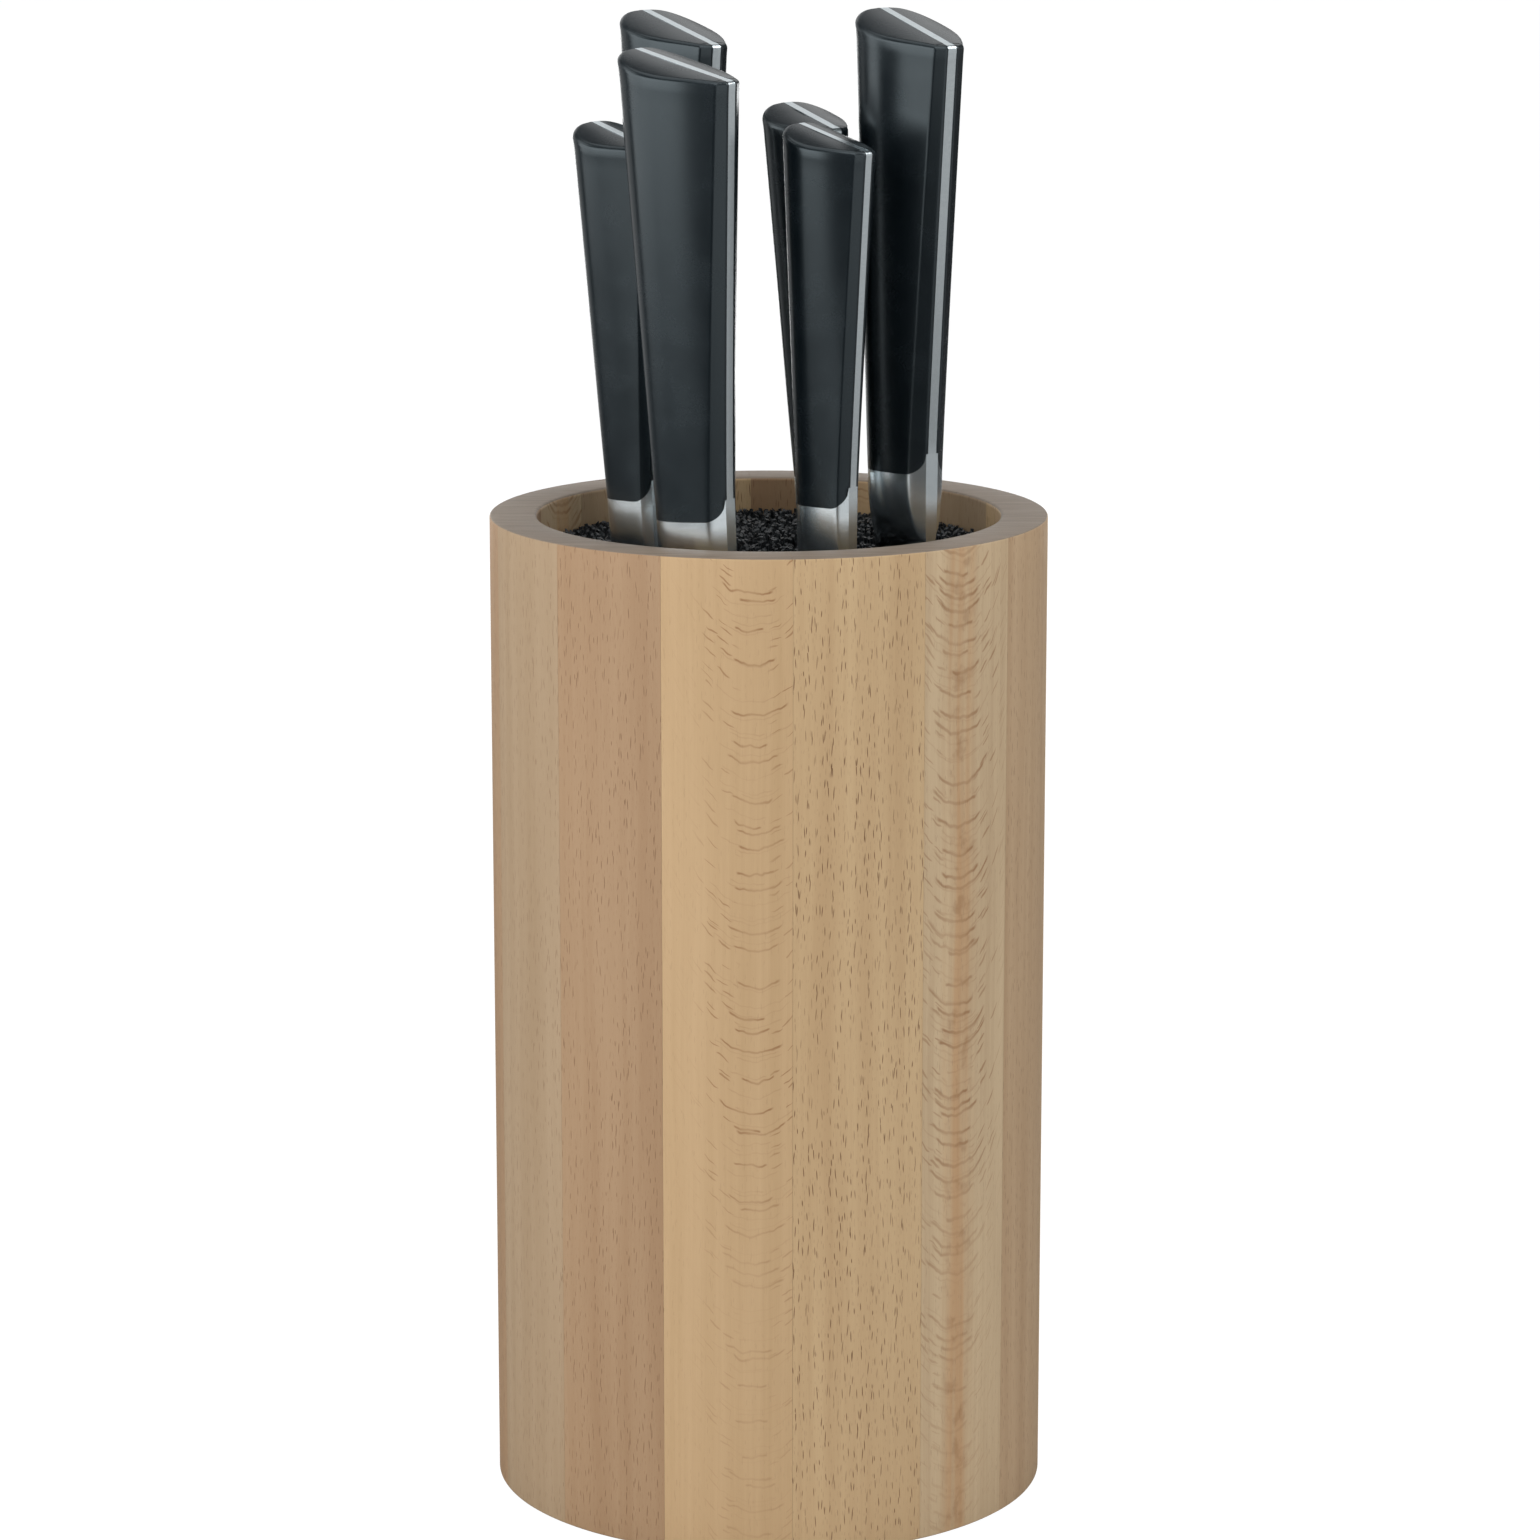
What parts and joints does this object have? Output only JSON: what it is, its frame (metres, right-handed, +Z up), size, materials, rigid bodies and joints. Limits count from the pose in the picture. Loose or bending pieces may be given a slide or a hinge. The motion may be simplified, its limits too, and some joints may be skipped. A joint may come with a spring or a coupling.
{
  "type": "knife block with knives",
  "caption": "Round coopered beech knife block with a lift-out bristle insert that holds forged kitchen knives with black handles, point down.",
  "frame": {"origin": "centre of the underside of the block, level with the foot pads", "axes": "+Z up along the block, -Y towards the front, +X to the right as seen from the front; the knives' spines face front right"},
  "size_m": [0.13, 0.13, 0.3496],
  "materials": {
    "beech": "oiled beech, satin",
    "pad_rubber": "matt silicone rubber",
    "insert_plastic": "moulded black plastic",
    "bristle": "black nylon bristles",
    "handle_plastic": "satin black acetal",
    "forged_steel": "satin-ground forged stainless steel",
    "pin_steel": "turned steel"
  },
  "bodies": {
    "housing": {"stave_01": "beech", "stave_02": "beech", "stave_03": "beech", "stave_04": "beech", "stave_05": "beech", "stave_06": "beech", "stave_07": "beech", "stave_08": "beech", "stave_09": "beech", "stave_10": "beech", "stave_11": "beech", "stave_12": "beech", "stave_13": "beech", "stave_14": "beech", "base_disc": "beech", "foot_1": "pad_rubber", "foot_2": "pad_rubber", "foot_3": "pad_rubber", "foot_4": "pad_rubber"},
    "insert": {"insert_plate": "insert_plastic", "bristle_pack": "bristle"},
    "chef_knife": {"chef_blade": "forged_steel", "chef_scale_left": "handle_plastic", "chef_scale_right": "handle_plastic", "chef_pins": "pin_steel"},
    "carving_knife": {"carving_blade": "forged_steel", "carving_scale_left": "handle_plastic", "carving_scale_right": "handle_plastic", "carving_pins": "pin_steel"},
    "bread_knife": {"bread_blade": "forged_steel", "bread_scale_left": "handle_plastic", "bread_scale_right": "handle_plastic", "bread_pins": "pin_steel"},
    "paring_knife": {"paring_blade": "forged_steel", "paring_scale_left": "handle_plastic", "paring_scale_right": "handle_plastic", "paring_pins": "pin_steel"},
    "utility_knife": {"utility_blade": "forged_steel", "utility_scale_left": "handle_plastic", "utility_scale_right": "handle_plastic", "utility_pins": "pin_steel"},
    "tomato_knife": {"tomato_blade": "forged_steel", "tomato_scale_left": "handle_plastic", "tomato_scale_right": "handle_plastic", "tomato_pins": "pin_steel"}
  },
  "joints": [
    {"name": "insert_lift", "type": "slide", "parent": "housing", "child": "insert", "axis": [0, 0, 1], "range_m": [0, 0.225]},
    {"name": "chef_draw", "type": "slide", "parent": "insert", "child": "chef_knife", "axis": [0.0081, -0.0067, 0.9999], "range_m": [0, 0.215]},
    {"name": "carving_draw", "type": "slide", "parent": "insert", "child": "carving_knife", "axis": [-0.0395, -0.0009, 0.9992], "range_m": [0, 0.22]},
    {"name": "bread_draw", "type": "slide", "parent": "insert", "child": "bread_knife", "axis": [0.0003, 0.0055, 1], "range_m": [0, 0.215]},
    {"name": "paring_draw", "type": "slide", "parent": "insert", "child": "paring_knife", "axis": [-0.0381, -0.0011, 0.9993], "range_m": [0, 0.115]},
    {"name": "utility_draw", "type": "slide", "parent": "insert", "child": "utility_knife", "axis": [-0.0362, 0.0085, 0.9993], "range_m": [0, 0.135]},
    {"name": "tomato_draw", "type": "slide", "parent": "insert", "child": "tomato_knife", "axis": [0.0065, -0.0029, 1], "range_m": [0, 0.14]}
  ]
}
